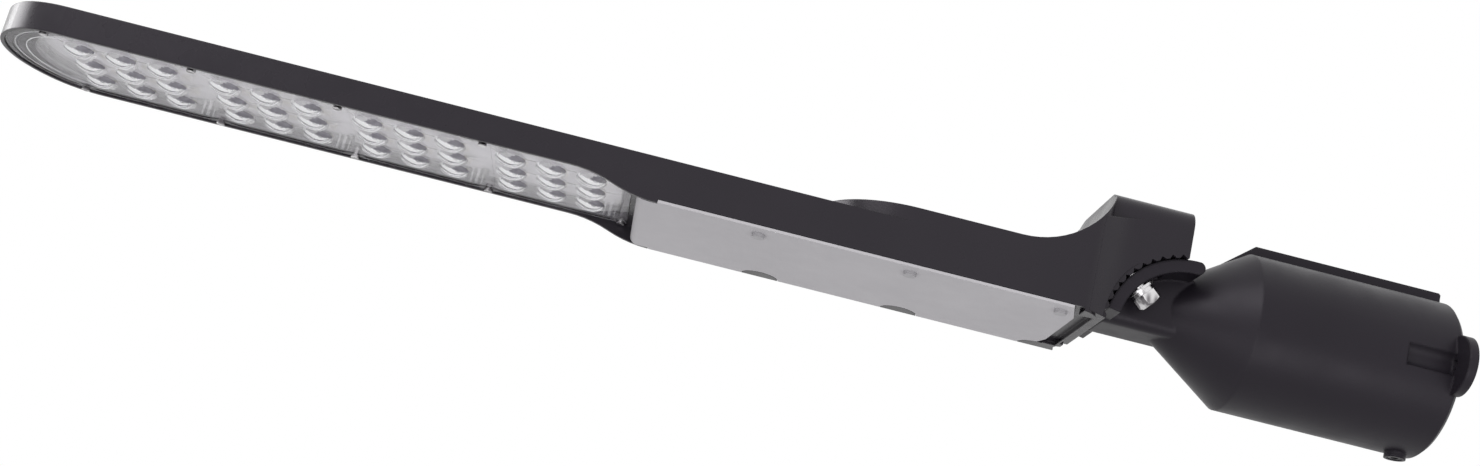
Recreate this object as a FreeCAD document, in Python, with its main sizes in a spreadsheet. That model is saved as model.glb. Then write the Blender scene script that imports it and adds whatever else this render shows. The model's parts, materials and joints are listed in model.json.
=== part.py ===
# LED street light head on a toothed, tiltable pole socket.
# Frame: origin at the centre of the socket's mouth, +X out of the mouth towards the pole, +Z up.
# The head lies towards -X with its lenses facing -Z. Lengths are in millimetres, angles in degrees.
import FreeCAD, Part
import Sketcher
import math
import os

V = FreeCAD.Vector
Y_AXIS = V(0, 1, 0)

# Lens groups along the head, each with its own LED board
GROUPS = 4

# Driving dimensions, one row each: name and value.
DRIVING = {
    # joint between head and pole bracket
    "tilt_back": 152, "tilt_drop": 21.7, "tilt_range": 14.4,
    "saddle_radius": 45.7, "saddle_plate": 7.2, "saddle_half_width": 36, "saddle_rim": 4,
    "saddle_low_angle": 170, "saddle_high_angle": 88,
    "tooth_pitch": 7.2, "tooth_depth": 2, "tooth_count": 11, "tooth_first": 173.6, "tooth_gap": 0.3,
    # head outline
    "head_reach": 662, "head_half_width": 50, "tip_corner_radius": 38, "tip_front_radius": 56,
    "face_rise": 8, "front_height": 15.5, "rear_drop": 9.2, "rear_lip": 2.4,
    "step_lead": 35, "step_run": 50, "hump_height": 23.7, "hump_lead": 25,
    "wall_reach": 52, "ramp_reach": 51.2, "block_reach": 6, "block_height": 66.4, "block_half_width": 38,
    "ramp_radius": 51, "block_round": 12, "edge_round": 1.2,
    # lens bay and optics
    "rim_wall": 2.2, "lens_recess": 0.8, "plate_thickness": 2.5, "gasket_thickness": 1.5, "ledge_width": 6,
    "ledge_end": 5, "tip_ledge": 10, "bay_depth": 11.5, "lens_end": 311, "fit_gap": 0.3,
    "tip_margin": 36.8, "end_margin": 0.6, "group_gap": 10.9, "row_pitch": 24,
    "lens_gap": 1.5, "lens_width": 22, "lens_height": 5, "lens_root": 0.5,
    "board_gap": 0.5, "board_thickness": 1.6, "chip_side": 5, "chip_height": 1,
    "lens_screw_tip": 33.8, "lens_screw_end": 3.6, "lens_screw_inset": 4,
    # driver bay and cover
    "cover_rear": 61, "cover_thickness": 1.6, "cover_bend": 5, "front_gap": 3.5,
    "cover_corner_run": 5.5, "cover_corner_width": 21, "rear_trough": 8,
    "bay_step": 1, "deep_depth": 20.5,
    "cover_screw_inset": 3.3, "cover_screw_first": 239.4, "cover_screw_pitch": 84.2,
    "boss_wall": 3, "notch_radius": 11, "notch_first": 229, "notch_pitch": 83.5,
    "driver_rear": 102, "driver_length": 82, "driver_half_width": 29, "driver_height": 21.5,
    "surge_gap": 10, "surge_length": 46, "surge_half_width": 13, "surge_height": 12, "foot": 7,
    "foot_thickness": 2, "terminal_gap": 1, "terminal_length": 14, "terminal_half_width": 17,
    "terminal_height": 13, "clamp_gap": 2, "clamp_width": 7, "clamp_wall": 2,
    "entry_radius": 6, "duct_radius": 12, "bush_wall": 1.6, "bush_flange": 1.8, "bush_shelf": 2.5,
    "bush_length": 14, "bush_gap": 0.05,
    # fasteners
    "bolt_radius": 4, "bolt_angle": 137, "bolt_side": 27, "bolt_flats": 13, "bolt_head": 7,
    "bolt_depth": 15, "washer_radius": 8, "washer_thickness": 1.6, "spring_radius": 6.6,
    "spring_thickness": 2.4, "hole_gap": 0.15, "slot_gap": 0.5,
    "small_radius": 1.5, "small_head_radius": 2.4, "small_head": 1.6, "small_grip": 2.4,
    "cover_screw_radius": 2, "cover_head_radius": 3.6, "cover_head": 2.2, "cover_grip": 8,
    # neck, cone and pole socket
    "neck_half_width": 18, "neck_floor": 5.6, "neck_fall": 3, "neck_overlap": 6, "neck_round": 6,
    "cone_start": 161, "cone_end": 116, "cone_radius": 16, "socket_radius": 45.5, "bore_radius": 39,
    "bore_length": 106, "inner_cone": 36,
    "rib_half_width": 4, "rib_rise": 6.3, "rib_lead": 5, "rib_run": 26, "swing_gap": 1.5,
    "ear_offset": 44.5, "ear_radius": 16.8, "ear_thickness": 5, "ear_hole": 3, "scoop_radius": 7.4,
    "scoop_offset": 48.5, "scoop_length": 27, "boss_position": 12, "boss_radius": 6, "boss_rise": 3,
    "set_radius": 4, "set_socket": 2.3, "mouth_chamfer": 2.2,
}

doc = FreeCAD.newDocument("street_light_head")
sheet = doc.addObject("Spreadsheet::Sheet", "Sizes")
for row, (name, value) in enumerate(DRIVING.items(), start=1):
    sheet.set(f"A{row}", name)
    sheet.set(f"B{row}", str(value))
    sheet.setAlias(f"B{row}", name)
doc.recompute()


class Size:
    """A number together with the expression that ties it to the sheet."""

    def __init__(self, value, text):
        self.value = value
        self.text = text

    def __add__(self, other):
        other = size(other)
        return Size(self.value + other.value, f"({self.text} + {other.text})")

    def __sub__(self, other):
        other = size(other)
        return Size(self.value - other.value, f"({self.text} - {other.text})")

    def __mul__(self, other):
        other = size(other)
        return Size(self.value * other.value, f"({self.text} * {other.text})")

    def __truediv__(self, other):
        other = size(other)
        return Size(self.value / other.value, f"({self.text} / {other.text})")

    def __neg__(self):
        return Size(-self.value, f"(-1 * {self.text})")

    def __radd__(self, other):
        return size(other) + self

    def __rsub__(self, other):
        return size(other) - self

    def __rmul__(self, other):
        return size(other) * self


def size(number):
    return number if isinstance(number, Size) else Size(float(number), f"{float(number):.6f}")


def root(number):
    return Size(math.sqrt(number.value), f"sqrt({number.text})")


def cosine(angle):
    angle = size(angle)
    return Size(math.cos(math.radians(angle.value)), f"cos({angle.text})")


def sine(angle):
    angle = size(angle)
    return Size(math.sin(math.radians(angle.value)), f"sin({angle.text})")


S = {name: Size(float(sheet.get(name)), f"Sizes.{name}") for name in DRIVING}


def bind(feature, **properties):
    """Sets each property to its number and ties it to the sheet."""
    for name, number in properties.items():
        number = size(number)
        setattr(feature, name, number.value)
        feature.setExpression(name, number.text)


def bind_position(feature, holder, x=0, y=0, z=0, turn=0):
    """Places a feature, turned about Y, by its Placement or AttachmentOffset."""
    x, y, z, turn = size(x), size(y), size(z), size(turn)
    rotation = FreeCAD.Rotation(Y_AXIS, turn.value if turn.value else 1e-9)
    setattr(feature, holder, FreeCAD.Placement(V(x.value, y.value, z.value), rotation))
    for letter, number in (("x", x), ("y", y), ("z", z)):
        feature.setExpression(f".{holder}.Base.{letter}", number.text)
    if turn.value:
        feature.setExpression(f".{holder}.Rotation.Angle", turn.text)


# Places shared by several pieces
tilt_x = -S["tilt_back"]
tilt_z = -S["tilt_drop"]
face_z = tilt_z + S["face_rise"]
rear_z = face_z - S["rear_drop"]
top_z = face_z + S["front_height"]
hump_z = face_z + S["hump_height"]
block_z = face_z + S["block_height"]
tip_x = tilt_x - S["head_reach"]
wall_x = tilt_x - S["wall_reach"]
block_x = tilt_x - S["block_reach"]
inner_half_width = S["head_half_width"] - S["rim_wall"]
bay_half_width = inner_half_width - S["ledge_width"]

# Lens bay
lens_end_x = tilt_x - S["lens_end"]
lens_bay_end_x = lens_end_x - S["ledge_end"]
plate_z = face_z + S["lens_recess"]
gasket_z = plate_z + S["plate_thickness"]
ledge_z = gasket_z + S["gasket_thickness"]
floor_z = face_z + S["bay_depth"]
group_pitch = (S["head_reach"] - S["tip_margin"] - S["lens_end"] - S["end_margin"]) / GROUPS
column_pitch = (group_pitch - S["group_gap"]) / 3
lens_length = column_pitch - S["lens_gap"]

# Driver bay and its cover
step_x = lens_end_x - S["step_lead"]
step_end_x = step_x + S["step_run"]
cover_z = rear_z
cover_top_z = cover_z + S["cover_thickness"]
cover_ledge_z = cover_top_z + S["gasket_thickness"]
cover_front_x = lens_end_x + S["front_gap"]
cover_flat_x = cover_front_x + S["cover_bend"]
cover_rear_x = tilt_x - S["cover_rear"]
bay_front_x = cover_flat_x + S["edge_round"] + S["ledge_end"]
bay_rear_x = cover_rear_x - S["ledge_end"]
deep_z = face_z + S["deep_depth"]
deep_half_width = bay_half_width - S["bay_step"]
driver_rear_x = tilt_x - S["driver_rear"]
driver_front_x = driver_rear_x - S["driver_length"]
hump_x = driver_front_x + S["hump_lead"]
surge_rear_x = hump_x - deep_half_width - S["surge_gap"] - S["foot"]
terminal_x = driver_rear_x + S["foot"] + S["terminal_gap"]
clamp_x = bay_rear_x - S["clamp_gap"] - S["clamp_width"]

# Toothed seat
seat_tip_radius = S["saddle_radius"] + S["tooth_gap"]
seat_radius = seat_tip_radius + S["tooth_depth"]


def plane(body, role):
    return next(f for f in body.Origin.OriginFeatures if f.Role == role)


def sketch(body, name, role="XY_Plane", x=0, y=0, z=0, turn=0):
    """A sketch on one of the body's own planes; on XZ its x is X and its y is Z."""
    new = body.newObject("Sketcher::SketchObject", name)
    new.AttachmentSupport = [(plane(body, role), "")]
    new.MapMode = "FlatFace"
    bind_position(new, "AttachmentOffset", x, y, z, turn)
    return new


def pin_point(target, curve, point, x, y):
    """Holds one point of a curve at its distance from the sketch's origin."""
    for kind, number in (("DistanceX", x), ("DistanceY", y)):
        index = target.addConstraint(Sketcher.Constraint(kind, -1, 1, curve, point, number.value))
        target.setExpression(f"Constraints[{index}]", number.text)


def pin_radius(target, curve, radius):
    index = target.addConstraint(Sketcher.Constraint("Radius", curve, radius.value))
    target.setExpression(f"Constraints[{index}]", radius.text)


def arc_between(start, end, radius, turn):
    """The shorter arc from start to end; turn is 1 anticlockwise and -1 clockwise."""
    chord = end - start
    middle = (start + end) * 0.5
    rise = math.sqrt(max(radius * radius - chord.Length * chord.Length / 4, 0))
    side = V(-chord.y, chord.x, 0).normalize() * (turn * rise)
    centre = middle + side
    first = math.atan2(start.y - centre.y, start.x - centre.x)
    last = math.atan2(end.y - centre.y, end.x - centre.x)
    circle = Part.Circle(centre, V(0, 0, 1), radius)
    return Part.ArcOfCircle(circle, first, last) if turn > 0 else Part.ArcOfCircle(circle, last, first)


def outline(target, points):
    """A closed outline. A point is (x, y), or (x, y, radius, turn) where an arc leads to it."""
    fixed = [tuple(size(number) for number in point[:2]) for point in points]
    places = [V(x.value, y.value, 0) for x, y in fixed]
    for index, point in enumerate(points):
        start, end = places[index - 1], places[index]
        if len(point) == 2:
            curve = target.addGeometry(Part.LineSegment(start, end), False)
            first, last = 1, 2
        else:
            radius, turn = size(point[2]), point[3]
            curve = target.addGeometry(arc_between(start, end, radius.value, turn), False)
            first, last = (1, 2) if turn > 0 else (2, 1)
            pin_radius(target, curve, radius)
        pin_point(target, curve, last, *fixed[index])
        pin_point(target, curve, first, *fixed[index - 1])


def circles(target, radius, centres):
    radius = size(radius)
    for x, y in centres:
        x, y = size(x), size(y)
        curve = target.addGeometry(Part.Circle(V(x.value, y.value, 0), V(0, 0, 1), radius.value), False)
        pin_point(target, curve, 3, x, y)
        pin_radius(target, curve, radius)


def box_outline(x0, x1, y0, y1):
    return [(x0, y0), (x1, y0), (x1, y1), (x0, y1)]


def pad(body, profile, length, symmetric=False, backwards=False):
    feature = body.newObject("PartDesign::Pad", "Pad_" + profile.Name)
    feature.Profile = profile
    feature.SideType = "Symmetric" if symmetric else "One side"
    feature.Reversed = backwards
    bind(feature, Length=length)
    doc.recompute()
    return feature


def pocket(body, profile, length, symmetric=False, upwards=True, may_miss=False):
    """Cuts, and makes sure that the cut took material away, unless it may meet none."""
    before = body.Shape.Volume
    feature = body.newObject("PartDesign::Pocket", "Pocket_" + profile.Name)
    feature.Profile = profile
    feature.SideType = "Symmetric" if symmetric else "One side"
    feature.Reversed = upwards
    bind(feature, Length=length)
    doc.recompute()
    if body.Shape.Volume > before - 1e-3 and not may_miss:
        raise RuntimeError(f"{profile.Name} cut nothing")
    return feature


def round_edges(body, radius, keep, kind="PartDesign::Fillet"):
    """Rounds (or chamfers) the edges of the body's last shape that keep(edge) picks."""
    base = body.Tip
    names = [f"Edge{i}" for i, edge in enumerate(base.Shape.Edges, start=1) if keep(edge)]
    if not names:
        raise RuntimeError(f"no edge to round on {body.Label}")
    feature = body.newObject(kind, f"Round_{body.Label}")
    feature.Base = (base, names)
    bind(feature, **{"Radius" if kind.endswith("Fillet") else "Size": radius})
    doc.recompute()
    return feature


def repeat_round(body, feature, axis_sketch, count, step):
    """Repeats a feature round the axis that stands on a sketch's origin."""
    pattern = body.newObject("PartDesign::PolarPattern", "Ring_" + feature.Name)
    pattern.Originals = [feature]
    pattern.Axis = (axis_sketch, ["N_Axis"])
    pattern.Mode = "Spacing"
    bind(pattern, Offset=step)
    pattern.Occurrences = int(round(count.value))
    pattern.setExpression("Occurrences", count.text)
    body.Tip = pattern
    doc.recompute()
    return pattern


def new_body(label):
    body = doc.addObject("PartDesign::Body", label)
    body.Label = label
    return body


def tip_outline(inset, rear_x, shift=0):
    """The head's plan, drawn in by inset: straight sides and a three-arc tip, ending at rear_x.

    The tip can be shifted back from the head's own tip."""
    front = S["tip_front_radius"]
    corner = S["tip_corner_radius"]
    side = S["head_half_width"] - corner
    back = root((front - corner) * (front - corner) - side * side)
    front_centre = tip_x + front + shift
    corner_x = front_centre - back
    small, large = corner - inset, front - inset
    share_x = back / (front - corner)
    share_y = side / (front - corner)
    join_x = front_centre - large * share_x
    join_y = large * share_y
    half = S["head_half_width"] - inset
    return [(rear_x, half), (corner_x, half), (join_x, join_y, small, 1),
            (join_x, -join_y, large, 1), (corner_x, -half, small, 1), (rear_x, -half)]


def bay_outline(gap=0):
    """The lens bay's plan, drawn in by a gap."""
    return tip_outline(S["rim_wall"] + S["ledge_width"] + gap, lens_bay_end_x - gap, S["tip_ledge"])


def lens_screw_places():
    side = inner_half_width - S["lens_screw_inset"]
    first = tip_x + S["lens_screw_tip"]
    step = (lens_end_x - S["lens_screw_end"] - first) / GROUPS
    return [(first + step * k, side * hand) for k in range(GROUPS + 1) for hand in (-1, 1)]


def group_places():
    return [tip_x + S["tip_margin"] + group_pitch * (k + 0.5) for k in range(GROUPS)]


def cover_screw_places():
    side = bay_half_width - S["cover_screw_inset"]
    return [(tilt_x - S["cover_screw_first"] + S["cover_screw_pitch"] * k, -side) for k in range(3)]


def notch_places():
    return [(tilt_x - S["notch_first"] + S["notch_pitch"] * k, S["head_half_width"]) for k in range(3)]


def board_screw_places():
    reach, side = group_pitch / 2 - S["foot"], bay_half_width - S["foot"]
    return [(x + reach * hand, side * hand) for x in group_places() for hand in (-1, 1)]


def foot_places(front_x, length):
    """Two screws through the feet at the ends of a box that hangs in the bay."""
    return [(front_x - S["foot"] / 2, 0), (front_x + length + S["foot"] / 2, 0)]


def driver_screw_places():
    return foot_places(driver_front_x, S["driver_length"])


def surge_screw_places():
    return foot_places(surge_rear_x - S["surge_length"], S["surge_length"])


def terminal_screw_places():
    x = terminal_x + S["terminal_length"] / 2
    y = S["terminal_half_width"] - S["small_head_radius"] - 1
    return [(x, -y), (x, y)]


def clamp_screw_places():
    x = clamp_x + S["clamp_width"] / 2
    y = S["entry_radius"] + S["clamp_wall"] + S["foot"] / 2
    return [(x, -y), (x, y)]


def lug_outlines(target, radius, edge_y):
    """Half-rounds at the cover's far edge, each cut off by the line y = edge_y."""
    rise = S["head_half_width"] - edge_y
    chord = root(radius * radius - rise * rise)
    for x, y in notch_places():
        outline(target, [(x - chord, edge_y), (x, y - radius, radius, 1), (x + chord, edge_y, radius, 1)])


def corner_cuts(target):
    """The slanted cuts across the two rear corners of the cover."""
    half, run, width = S["head_half_width"], S["cover_corner_run"], S["cover_corner_width"]
    beyond = half + 1
    for hand in (-1, 1):
        outline(target, [(cover_rear_x, (half - width) * hand), (cover_rear_x - run, half * hand),
                         (cover_rear_x - run, beyond * hand), (cover_rear_x + 1, beyond * hand),
                         (cover_rear_x + 1, (half - width) * hand)])


def boss_outlines(target):
    """Half-round bosses that carry the cover's screws beside the bay's near wall."""
    radius = S["cover_screw_radius"] + S["boss_wall"]
    wall_y = -bay_half_width - 0.5
    for x, y in cover_screw_places():
        outline(target, [(x - radius, wall_y), (x + radius, wall_y), (x + radius, y),
                         (x, y + radius, radius, 1), (x - radius, y, radius, 1)])


def drill(body, name, z, depth, radius, centres):
    holes = sketch(body, name, z=z)
    circles(holes, radius, centres)
    return pocket(body, holes, depth)


def make_housing():
    """The die-cast head: thin front, driver hump, rear block and its toothed seat."""
    body = new_body("housing")
    front = sketch(body, "front_plan", z=face_z)
    outline(front, tip_outline(0, wall_x))
    pad(body, front, S["front_height"])

    hump = sketch(body, "hump_plan", z=face_z)
    half = S["head_half_width"]
    outline(hump, [(wall_x, half), (hump_x, half), (hump_x - half, 0, half, 1),
                   (hump_x, -half, half, 1), (wall_x, -half)])
    pad(body, hump, S["hump_height"])

    ramp = S["ramp_radius"]
    ramp_top_z = block_z - hump_z - ramp
    ramp_end_x = tilt_x - S["ramp_reach"]
    ramp_x = ramp_end_x - root(ramp * ramp - ramp_top_z * ramp_top_z)
    run, drop = S["step_run"], S["rear_drop"]
    bend = (run * run + drop * drop) / (drop * 4)
    lip_z = rear_z + S["rear_lip"]
    lip_x = tilt_x - root(seat_tip_radius * seat_tip_radius - (lip_z - tilt_z) * (lip_z - tilt_z))
    seat_high_z = tilt_z + root(seat_tip_radius * seat_tip_radius - S["block_reach"] * S["block_reach"])
    side = sketch(body, "side_profile", "XZ_Plane")
    outline(side, [
        (step_x, top_z), (step_x, face_z), (step_x + run / 2, face_z - drop / 2, bend, -1),
        (step_end_x, rear_z, bend, 1), (wall_x, rear_z), (wall_x, lip_z), (lip_x, lip_z),
        (block_x, seat_high_z, seat_tip_radius, -1), (block_x, block_z),
        (ramp_end_x, block_z), (ramp_x, hump_z, ramp, -1),
        (hump_x, hump_z), (hump_x, top_z)])
    pad(body, side, half * 2, symmetric=True)

    # Round the block the walls turn in, each with a quarter round.
    corners = sketch(body, "rear_corners", z=rear_z - 1)
    narrow = S["block_half_width"]
    turn = half - narrow
    outline(corners, [(wall_x - turn, half), (wall_x, narrow, turn, -1), (block_x + 1, narrow),
                      (block_x + 1, half + 1), (wall_x - turn, half + 1)])
    outline(corners, [(wall_x - turn, -half, turn, -1), (wall_x - turn, -half - 1),
                      (block_x + 1, -half - 1), (block_x + 1, -narrow), (wall_x, -narrow)])
    pocket(body, corners, S["block_height"] + S["rear_drop"] + 2)

    # The block's long top edges
    edges = sketch(body, "block_edge_section", "YZ_Plane", z=wall_x)
    curve = S["block_round"]
    for hand in (-1, 1):
        outline(edges, [((narrow - curve) * hand, block_z), (narrow * hand, block_z - curve, curve, -hand),
                        ((narrow + 1) * hand, block_z - curve), ((narrow + 1) * hand, block_z + 1),
                        ((narrow - curve) * hand, block_z + 1)])
    pocket(body, edges, block_x - wall_x + 1)

    # Lens bay: a wide recess down to the gasket's ledge, then the bay itself.
    wide = sketch(body, "lens_recess_plan", z=rear_z - 1)
    outline(wide, tip_outline(S["rim_wall"], lens_end_x))
    pocket(body, wide, ledge_z - rear_z + 1)
    bay = sketch(body, "lens_bay_plan", z=ledge_z)
    outline(bay, bay_outline())
    pocket(body, bay, floor_z - ledge_z)

    # Driver bay: the walls end on the cover, a rabbet inside them holds its gasket.
    seat = sketch(body, "cover_seat", z=rear_z - 1)
    outline(seat, box_outline(step_end_x, cover_rear_x + S["fit_gap"], -half - 1, half + 1))
    pocket(body, seat, S["cover_thickness"] + S["fit_gap"] + 1)
    rabbet = sketch(body, "cover_rabbet", z=rear_z - 1)
    outline(rabbet, box_outline(lens_end_x, cover_rear_x + S["fit_gap"], -inner_half_width, inner_half_width))
    pocket(body, rabbet, cover_ledge_z - rear_z + 1)
    trough = sketch(body, "rear_trough", z=rear_z - 1)
    outline(trough, box_outline(cover_rear_x, cover_rear_x + S["rear_trough"], -narrow, narrow))
    pocket(body, trough, cover_ledge_z - rear_z + 1)
    slope = sketch(body, "front_recess", z=rear_z - 1)
    outline(slope, box_outline(lens_end_x, bay_front_x - S["ledge_end"], -inner_half_width, inner_half_width))
    pocket(body, slope, plate_z + S["fit_gap"] - rear_z + 1)
    shallow = sketch(body, "driver_bay_plan", z=cover_ledge_z - 1)
    outline(shallow, box_outline(bay_front_x, bay_rear_x, -bay_half_width, bay_half_width))
    pocket(body, shallow, floor_z - cover_ledge_z + 1)
    deep = sketch(body, "deep_bay_plan", z=floor_z - 1)
    inner = deep_half_width
    outline(deep, [(bay_rear_x, inner), (hump_x, inner), (hump_x - inner, 0, inner, 1),
                   (hump_x, -inner, inner, 1), (bay_rear_x, -inner)])
    pocket(body, deep, deep_z - floor_z + 1)

    # Half-round lugs that hold the cover's far edge.
    lugs = sketch(body, "cover_lugs", z=rear_z)
    lug_outlines(lugs, S["notch_radius"] - S["fit_gap"], half)
    pad(body, lugs, cover_ledge_z - rear_z)
    seats = sketch(body, "lug_seats", z=cover_ledge_z)
    lug_outlines(seats, S["notch_radius"] + S["boss_wall"], bay_half_width + 0.5)
    pad(body, seats, floor_z + 1 - cover_ledge_z)

    bosses = sketch(body, "cover_bosses", z=cover_ledge_z)
    boss_outlines(bosses)
    pad(body, bosses, floor_z + 1 - cover_ledge_z)

    # Holes: cable entry, clamp bolts, and the blind holes of the small screws.
    entry = sketch(body, "cable_entry", "YZ_Plane", z=bay_rear_x - 1)
    circles(entry, S["entry_radius"], [(0, deep_z - S["entry_radius"] - S["clamp_wall"])])
    pocket(body, entry, S["cover_rear"] + S["ledge_end"] + 1)
    bolts = sketch(body, "bolt_holes", x=tilt_x, z=tilt_z, turn=90 - S["bolt_angle"])
    circles(bolts, S["bolt_radius"] + S["hole_gap"], [(0, -S["bolt_side"]), (0, S["bolt_side"])])
    pocket(body, bolts, seat_radius + S["bolt_depth"])
    small = S["small_radius"] + S["hole_gap"]
    grip = S["small_grip"] + S["fit_gap"]
    drill(body, "lens_screw_holes", ledge_z - 0.5, grip + 0.5, small, lens_screw_places())
    drill(body, "cover_screw_holes", cover_ledge_z - 0.5, S["cover_grip"] - S["cover_thickness"],
          S["cover_screw_radius"] + S["hole_gap"], cover_screw_places())
    drill(body, "board_screw_holes", floor_z - 0.5, grip + 0.5, small, board_screw_places())
    drill(body, "surge_screw_holes", floor_z - 0.5, grip + 0.5, small, surge_screw_places())
    drill(body, "deep_screw_holes", deep_z - 0.5, grip + 0.5, small,
          driver_screw_places() + terminal_screw_places() + clamp_screw_places())

    # Tooth spaces of the seat
    space = tooth_sketch(body, "seat_tooth", seat_radius, seat_tip_radius, S["tooth_first"])
    cut = pocket(body, space, narrow * 2 + 4, symmetric=True)
    repeat_round(body, cut, space, S["tooth_count"], -S["tooth_pitch"])
    return body


def tooth_sketch(body, name, deep_radius, open_radius, angle):
    """One V of the toothing, drawn about the tilt axis; deep_radius holds the point of the V."""
    turn = sketch(body, name, "XZ_Plane", x=tilt_x, y=tilt_z)
    half = S["tooth_pitch"] * 0.42
    overshoot = (open_radius - deep_radius) * 0.25
    edge_radius = open_radius + overshoot
    outline(turn, [(deep_radius * cosine(angle), deep_radius * sine(angle)),
                   (edge_radius * cosine(angle + half), edge_radius * sine(angle + half)),
                   (edge_radius * cosine(angle - half), edge_radius * sine(angle - half))])
    return turn


def make_lens_plate():
    """One clear moulding: a flat plate with 36 lenses, each of two lobes side by side."""
    gap = S["rim_wall"] + S["fit_gap"]
    body = new_body("lens_plate")
    plan = sketch(body, "plate_plan", z=plate_z)
    outline(plan, tip_outline(gap, lens_end_x - S["fit_gap"]))
    pad(body, plan, S["plate_thickness"])
    drill(body, "plate_holes", plate_z - 1, S["plate_thickness"] + 2, S["small_radius"] + S["hole_gap"],
          lens_screw_places())
    # A lens is where two vaults cross: one curved along the head, one curved across it.
    length, width, height = lens_length, S["lens_width"], S["lens_height"]
    along = sketch(body, "vaults_along", "XZ_Plane")
    vault(along, length, height, lens_columns(), plate_z + S["lens_root"])
    pad(body, along, S["row_pitch"] * 2 + width, symmetric=True)
    across = sketch(body, "vaults_across", "YZ_Plane", z=tip_x)
    outer = S["row_pitch"] * 1.5
    low, crown = plate_z - height * 2, height * height * 4 + width * width
    points = [(outer, plate_z), (outer, low), (-outer, low), (-outer, plate_z)]
    for y in lens_rows():
        points += [(y - width / 2, plate_z), (y, plate_z - height, crown / (height * 8), 1),
                   (y + width / 2, plate_z, crown / (height * 8), 1)]
    outline(across, points)
    pocket(body, across, S["head_reach"])
    return body


def lens_columns():
    return [x + column_pitch * column for x in group_places() for column in (-1, 0, 1)]


def lens_rows():
    return [S["row_pitch"] * row for row in (-1, 0, 1)]


def vault(target, span, height, centres, base_z):
    """Low arches that hang from the plate, their feet rising to base_z inside it."""
    radius = (height * height * 4 + span * span) / (height * 8)
    for x in centres:
        outline(target, [(x - span / 2, base_z), (x - span / 2, plate_z),
                         (x, plate_z - height, radius, 1), (x + span / 2, plate_z, radius, 1),
                         (x + span / 2, base_z)])


def make_lens_gasket():
    body = new_body("lens_gasket")
    ring = sketch(body, "ring_plan", z=gasket_z)
    outline(ring, tip_outline(S["rim_wall"] + S["fit_gap"], lens_end_x - S["fit_gap"]))
    pad(body, ring, S["gasket_thickness"])
    opening = sketch(body, "ring_opening", z=gasket_z - 1)
    outline(opening, bay_outline())
    pocket(body, opening, S["gasket_thickness"] + 2)
    drill(body, "ring_holes", gasket_z - 1, S["gasket_thickness"] + 2, S["small_radius"] + S["hole_gap"],
          lens_screw_places())
    return body


def make_board(number, x):
    """One of the LED boards that share the floor of the lens bay, end to end."""
    body = new_body(f"led_board_{number}")
    z = floor_z - S["board_thickness"]
    plan = sketch(body, f"board_plan_{number}", z=z)
    outline(plan, bay_outline(S["board_gap"]))
    pad(body, plan, S["board_thickness"])
    half = (group_pitch - S["board_gap"]) / 2
    side = S["head_half_width"]
    ends = sketch(body, f"board_ends_{number}", z=z - 1)
    if number > 1:
        outline(ends, box_outline(tip_x, x - half, -side, side))
    if number < GROUPS:
        outline(ends, box_outline(x + half, lens_end_x, -side, side))
    pocket(body, ends, S["board_thickness"] + 2)
    screws = board_screw_places()[2 * (number - 1):2 * number]
    drill(body, f"board_holes_{number}", z - 1, S["board_thickness"] + 2,
          S["small_radius"] + S["hole_gap"], screws)
    return body


def primitive(kind, name, x=0, y=0, z=0, turn=0, **sizes):
    new = doc.addObject(kind, name)
    bind(new, **sizes)
    bind_position(new, "Placement", x, y, z, turn)
    return new


def gather(label, pieces):
    """Equal loose pieces kept together under one name."""
    group = doc.addObject("Part::Compound", label)
    group.Label = label
    group.Links = pieces
    return group


def make_chips():
    side, height = S["chip_side"], S["chip_height"]
    z = floor_z - S["board_thickness"] - height
    pieces = [primitive("Part::Box", "chip", x - side / 2, y - side / 2, z,
                        Length=side, Width=side, Height=height)
              for x in lens_columns() for y in lens_rows()]
    return gather("led_chips", pieces)


def make_screws(label, places, seat_z, grip, radius, head_radius, head_height):
    """Round-head screws that come up from below; the head's underside sits at seat_z."""
    pieces = []
    for x, y in places:
        head = primitive("Part::Cylinder", label + "_head", x, y, seat_z - head_height,
                         Radius=head_radius, Height=head_height)
        shank = primitive("Part::Cylinder", label + "_shank", x, y, seat_z - head_height / 2,
                          Radius=radius, Height=grip + head_height / 2)
        screw = doc.addObject("Part::MultiFuse", label + "_piece")
        screw.Shapes = [head, shank]
        pieces.append(screw)
    return gather(label, pieces)


def make_small_screws(label, places, seat_z, grip):
    return make_screws(label, places, seat_z, grip, S["small_radius"], S["small_head_radius"], S["small_head"])


def make_driver_cover():
    """The cover under the driver bay: full width, its front bent up inside the walls."""
    body = new_body("driver_cover")
    half = S["head_half_width"]
    bend, thick = S["cover_bend"], S["cover_thickness"]
    side = sketch(body, "cover_profile", "XZ_Plane")
    outline(side, [(cover_rear_x, cover_z), (cover_rear_x, cover_top_z), (cover_flat_x, cover_top_z),
                   (cover_front_x + thick, cover_z + bend, bend - thick, -1),
                   (cover_front_x + thick, plate_z), (cover_front_x, plate_z),
                   (cover_front_x, cover_z + bend), (cover_flat_x, cover_z, bend, 1)])
    pad(body, side, half * 2, symmetric=True)
    front = sketch(body, "front_corners", z=cover_z - 1)
    inner = inner_half_width - S["fit_gap"]
    outline(front, box_outline(cover_front_x - 1, step_end_x + S["fit_gap"], inner, half + 1))
    outline(front, box_outline(cover_front_x - 1, step_end_x + S["fit_gap"], -half - 1, -inner))
    pocket(body, front, S["rear_drop"] + S["lens_recess"] + 2)
    notches = sketch(body, "cover_notches", z=cover_z - 1)
    circles(notches, S["notch_radius"], notch_places())
    pocket(body, notches, thick + 2)
    rear = sketch(body, "rear_corners_cut", z=cover_z - 1)
    corner_cuts(rear)
    pocket(body, rear, thick + 2)
    drill(body, "cover_holes", cover_z - 1, thick + 2, S["cover_screw_radius"] + S["hole_gap"],
          cover_screw_places())
    return body


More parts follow.
